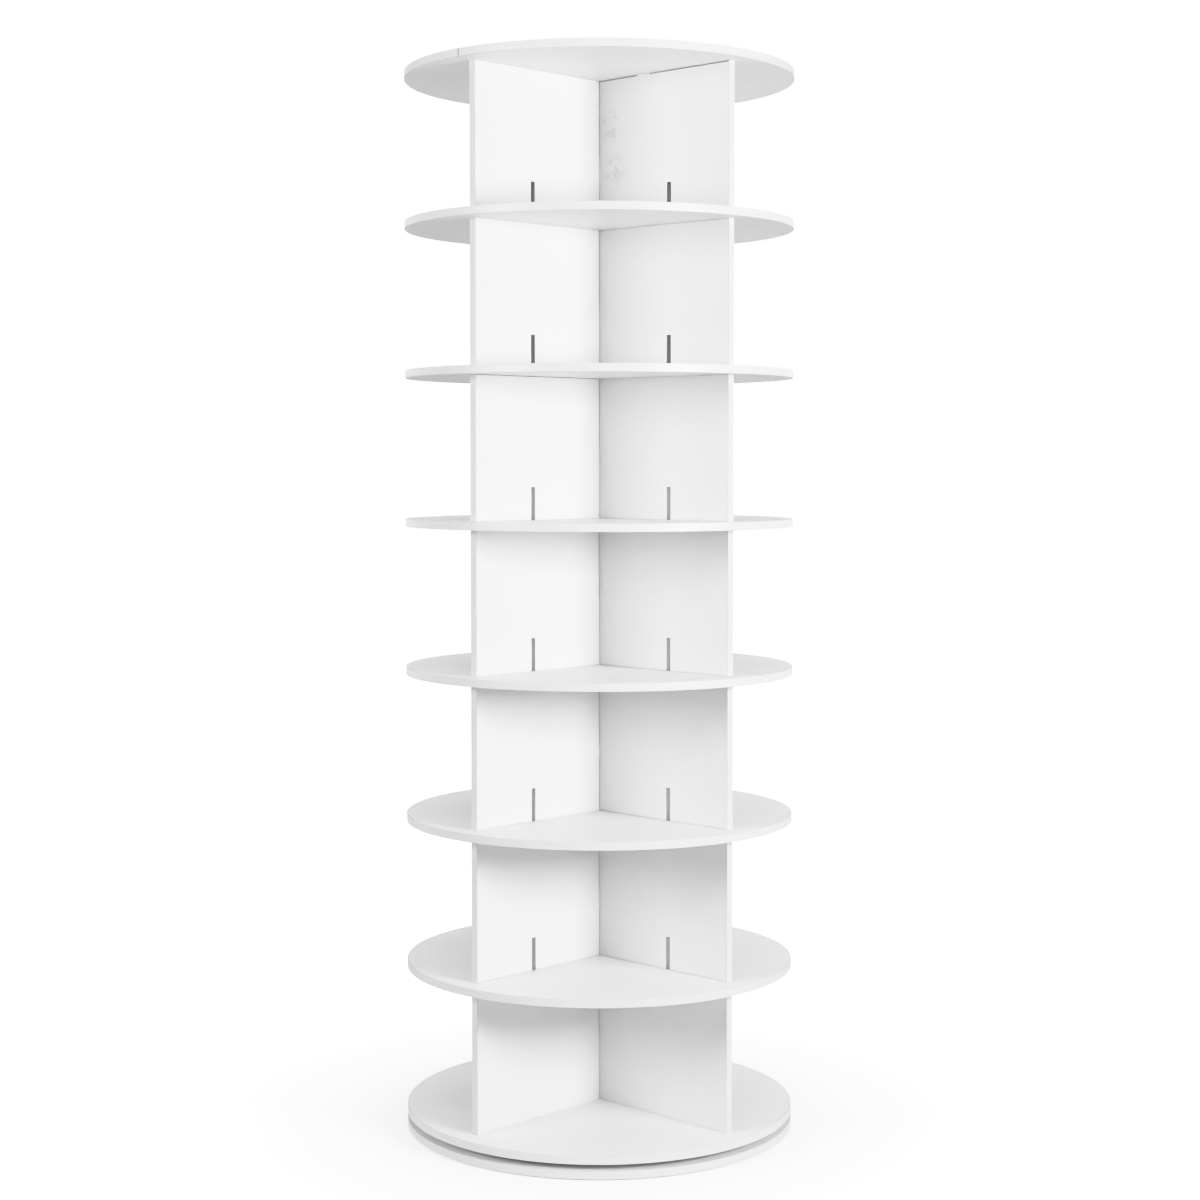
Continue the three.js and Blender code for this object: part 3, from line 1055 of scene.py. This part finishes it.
def bearing():
    """Both rings and the caged balls."""
    ball_level = (CAGE_LOW.z + CAGE_HIGH.z) / 2
    circle = CAGE_HIGH.x - BALL
    inner_wall = circle + RING_SPACING / 2
    outer_wall = circle - RING_SPACING / 2
    outer_race = race(inner_wall, 1, ball_level)
    inner_race = race(outer_wall, -1, ball_level)
    bearing_ring("fixed_ring", "bearing_fixed_ring", "base", inner_wall, FIXED_HIGH.x, outer_race)
    bearing_ring(
        "turning_ring", "bearing_turning_ring", "tower", outer_wall - RING_WIDTH, outer_wall, inner_race
    )

    ball_shape = bmesh.new()
    bmesh.ops.create_uvsphere(ball_shape, u_segments=BALL_SEGMENTS, v_segments=BALL_ROWS, radius=BALL)
    ball = from_bmesh("ball", ball_shape, (BALL_STEEL,))
    places = []
    for index in range(BALL_COUNT):
        angle = 2 * math.pi * index / BALL_COUNT
        places.append(((circle * math.cos(angle), circle * math.sin(angle), ball_level), (0, 0, angle)))
    balls = copies("bearing_balls", ball, places, BALL_STEEL)
    bpy.data.objects.remove(ball)
    smooth_by_angle(balls)
    strip_shape = bmesh.new()
    across = (circle - STRIP_WIDTH / 2, circle + STRIP_WIDTH / 2)
    upwards = (ball_level - STRIP_HEIGHT / 2, ball_level + STRIP_HEIGHT / 2)
    turned_profile(strip_shape, rounded_rectangle(*across, *upwards, STRIP_EASE), RING_STEPS)
    strip = from_bmesh("ball_strip", strip_shape, (BALL_STEEL,))
    smooth_by_angle(strip)
    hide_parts("ball_cage")
    for piece in (balls, strip):
        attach(piece, "cage")


bearing()


# Foot


def foot():
    """The anti-slip ring under the base, with rounded edges."""
    shape = bmesh.new()
    outer = FOOT_HIGH.x
    profile = rounded_rectangle(outer - FOOT_WIDTH, outer, FOOT_LOW.z, FOOT_HIGH.z, FOOT_EASE)
    turned_profile(shape, profile, RING_STEPS)
    piece = from_bmesh("foot", shape, (FOAM,))
    smooth_by_angle(piece)
    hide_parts("foot_ring")
    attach(piece, "base")


foot()


# Floor and light

SURROUND = 0.07  # how strongly the white room lights the tower
WHITE = 2.0  # the brightness that shows as pure white
SHOULDER = 0.6  # up to this brightness the tones stay as they are
SHOULDER_STEPS = 8
FLOOR_SEEN = 0.85  # the floor's white as it shows, and how much light it throws back up
FLOOR_BOUNCE = 0.57
FLOOR_GLOW = 0.36  # the light that the bright ground close to the base adds to that
FLOOR_FADE = (0.15, 0.9)  # over this distance from the axis the floor turns into the white of the room
FLOOR_RADIUS = 40
FLOOR_STEPS = 96
FLOOR_ROUGHNESS = 0.9
COMBINED_CURVE = 3  # after the curves of the three colours

# The lights, as (name, azimuth, height, distance from the axis, width, length, power, downward tilt)
LIGHTS = [
    ("right_key", 90, 1.22, 2.5, 1.0, 0.7, 65, 0),
    ("left_fill", -13, 1.45, 2.8, 1.3, 1.0, 49, 0),
    ("back_right", 178.7, 0.9, 2.6, 1.6, 1.6, 9, 0),
    ("back_left", -91.3, 0.9, 2.6, 1.6, 1.6, 9, 0),
    ("backdrop", 223.7, 1.7, 3.0, 4.0, 2.4, 32, 10),
    ("front_top", 43.7, 2.7, 2.4, 1.6, 0.8, 8, 35),
    ("ceiling", 0, 3.8, 0, 4.5, 4.5, 84, 90),
]


def floor():
    """A plain white floor, which runs out into the white of the room without an edge. The camera sees it
    whiter than it lights the tower."""
    shape = bmesh.new()
    bmesh.ops.create_circle(shape, cap_ends=True, segments=FLOOR_STEPS, radius=FLOOR_RADIUS)
    piece = from_bmesh("floor", shape)
    s = Shader("studio_floor", Roughness=FLOOR_ROUGHNESS)
    fade = s.spread(s.length(s.where), FLOOR_FADE)
    seen = s.node("ShaderNodeLightPath").outputs["Is Camera Ray"]
    shown = s.maths("MULTIPLY", seen, s.maths("MULTIPLY", fade, WHITE))
    close = s.maths("SUBTRACT", 1, fade)
    unseen = s.maths("SUBTRACT", 1, seen)
    thrown = s.maths("MULTIPLY", unseen, s.maths("MULTIPLY", close, FLOOR_GLOW))
    s.feed(s.surface.inputs["Emission Strength"], s.maths("ADD", shown, thrown))
    s.surface.inputs["Emission Color"].default_value = (1, 1, 1, 1)
    piece.data.materials.append(s.finish(s.blend(seen, grey(FLOOR_BOUNCE), grey(FLOOR_SEEN))))


def softbox(name, azimuth, height, distance, width, length, power, tilt):
    """A soft light that faces the tower's axis and that the camera doesn't see."""
    data = bpy.data.lights.new(name, "AREA")
    data.shape = "RECTANGLE"
    data.size = width
    data.size_y = length
    data.energy = power
    light = bpy.data.objects.new(name, data)
    around = math.radians(azimuth)
    light.location = (distance * math.sin(around), -distance * math.cos(around), height)
    light.rotation_euler = (QUARTER - math.radians(tilt), 0, around)
    light.visible_camera = False
    bpy.context.scene.collection.objects.link(light)


def room():
    """An even white surround, which shows as white behind the tower and lights it more weakly."""
    world = bpy.data.worlds.new("room")
    world.use_nodes = True
    nodes, links = world.node_tree.nodes, world.node_tree.links
    seen = nodes.new("ShaderNodeLightPath").outputs["Is Camera Ray"]
    strength = nodes.new("ShaderNodeMapRange")
    strength.inputs["To Min"].default_value = SURROUND
    strength.inputs["To Max"].default_value = WHITE
    links.new(seen, strength.inputs["Value"])
    nodes["Background"].inputs["Color"].default_value = (1, 1, 1, 1)
    links.new(strength.outputs["Result"], nodes["Background"].inputs["Strength"])
    bpy.context.scene.world = world


def tone_curve():
    """A photograph's tones: as they are up to the shoulder, and eased off from there to pure white."""
    view = bpy.context.scene.view_settings
    view.view_transform = "Standard"
    view.use_curve_mapping = True
    mapping = view.curve_mapping
    mapping.white_level = (WHITE, WHITE, WHITE)
    curve = mapping.curves[COMBINED_CURVE]
    room_left = 1 - SHOULDER
    for step in range(SHOULDER_STEPS):
        level = SHOULDER + (WHITE - SHOULDER) * step / SHOULDER_STEPS
        shown = SHOULDER + room_left * (1 - math.exp((SHOULDER - level) / room_left))
        point = curve.points.new(level / WHITE, shown)
        point.handle_type = "AUTO"
    curve.points[1].handle_type = "VECTOR"
    mapping.update()


floor()
room()
for light in LIGHTS:
    softbox(*light)
tone_curve()
